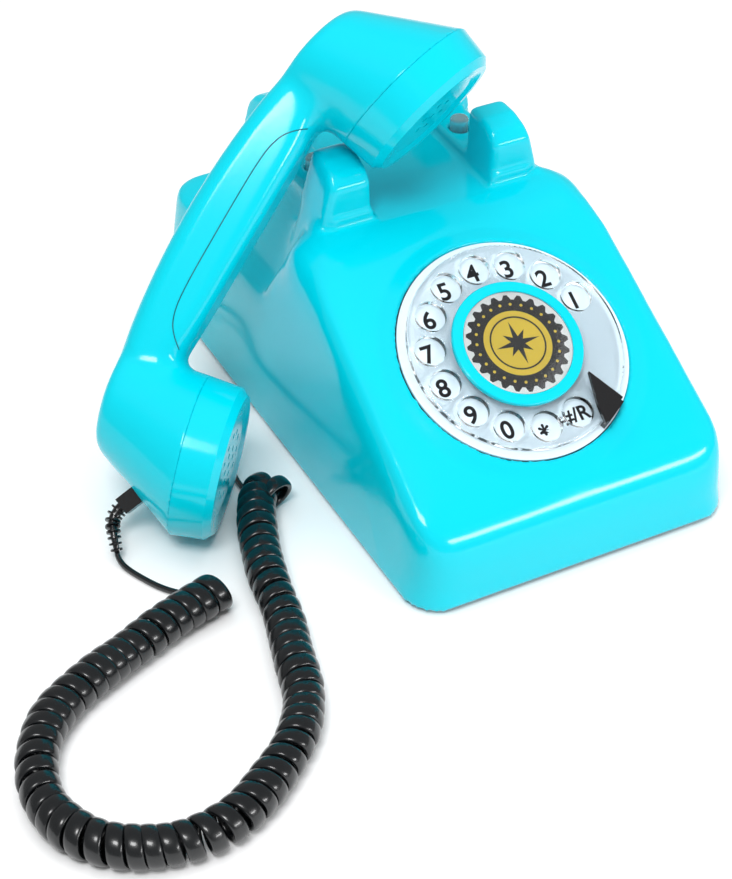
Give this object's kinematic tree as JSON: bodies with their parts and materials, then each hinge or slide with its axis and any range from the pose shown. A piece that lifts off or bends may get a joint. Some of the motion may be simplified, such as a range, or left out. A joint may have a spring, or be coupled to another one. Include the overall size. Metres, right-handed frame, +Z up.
{
  "type": "rotary desk telephone",
  "caption": "Compact desk telephone with a sloping face, a clear finger wheel that turns, four cradle posts with hook plungers, a lift-off handset and a coiled cord.",
  "frame": {"origin": "middle of the ground that the base and the handset cover, on the table under the rubber feet", "axes": "+X to the phone's right seen from the front, +Y from the front to the back, +Z up"},
  "size_m": [0.2831, 0.2908, 0.1592],
  "materials": {
    "shell": "glossy turquoise",
    "clear": "clear moulded plastic",
    "white_plate": "white with printed digits",
    "black_trim": "glossy black",
    "card": "printed card",
    "cord": "glossy black vinyl",
    "rubber": "matt",
    "steel": "zinc plated",
    "brass": "polished",
    "inner_plastic": "moulded",
    "board": "phenolic board",
    "ballast": "painted",
    "white_plastic": "moulded"
  },
  "bodies": {
    "base": {"housing": "shell", "base_plate": "steel", "rubber_feet": "rubber", "base_screws": "steel", "ballast_weight": "ballast", "main_board": "board", "dial_frame": "inner_plastic", "number_plate": "white_plate", "finger_stop": "black_trim", "dial_spring": "steel", "governor_cup": "brass", "hook_bracket": "steel", "hook_spring": "steel", "hook_switch": "inner_plastic", "ringer_frame": "steel", "ringer_coil": "inner_plastic", "gong_left": "brass", "gong_right": "brass", "gong_screws": "steel", "line_jack": "inner_plastic", "handset_jack": "inner_plastic", "ringer_switch_body": "inner_plastic", "handset_lead": "cord", "cord_coil": "cord", "base_lead": "cord", "base_plug": "black_trim"},
    "dial": {"finger_wheel": "clear", "hub_ring": "shell", "number_card": "card", "card_lens": "clear", "dial_shaft": "steel", "drive_gear": "brass"},
    "governor": {"governor_rotor": "brass"},
    "hook": {"plunger_left": "white_plastic", "plunger_right": "white_plastic", "hook_crossbar": "inner_plastic"},
    "clapper_arm": {"clapper": "steel"},
    "ringer_knob": {"ringer_switch_knob": "black_trim"},
    "handset": {"handset_back_shell": "shell", "handset_inner_shell": "shell", "ear_cap": "shell", "mouth_cap": "shell", "speaker": "inner_plastic", "microphone": "inner_plastic", "handset_weight": "ballast", "handset_screws": "steel", "handset_socket": "inner_plastic", "handset_plug": "black_trim", "plug_boot": "cord"}
  },
  "joints": [
    {"name": "dial_turn", "type": "hinge", "parent": "base", "child": "dial", "pos_m": [0.0385, -0.0593, 0.0601], "axis": [0, -0.4848, 0.8746], "range_deg": [-320, 0], "stiffness_Nm_per_rad": 0.012, "springref_deg": 34.38},
    {"name": "governor_spin", "type": "hinge", "parent": "base", "child": "governor", "pos_m": [0.0385, -0.04229, 0.06953], "axis": [0, -0.4848, 0.8746], "range_deg": [0, 1600]},
    {"name": "hook_press", "type": "slide", "parent": "base", "child": "hook", "axis": [0, 0, -1], "range_m": [0, 0.004], "stiffness_N_per_m": 150, "springref_m": -0.003, "deforming": ["hook_spring"]},
    {"name": "clapper_swing", "type": "hinge", "parent": "base", "child": "clapper_arm", "pos_m": [0.0385, 0.0531, 0], "axis": [0, 0, 1], "range_deg": [-2.5, 2.5], "stiffness_Nm_per_rad": 0.002},
    {"name": "ringer_knob_slide", "type": "slide", "parent": "base", "child": "ringer_knob", "axis": [1, 0, 0], "range_m": [-0.003, 0.003]},
    {"name": "handset_lift", "type": "slide", "parent": "base", "child": "handset", "axis": [0, 0, 1], "range_m": [0, 0.05]}
  ],
  "couplings": [
    {"joint": "governor_spin", "follows": "dial_turn", "ratio": -5}
  ]
}
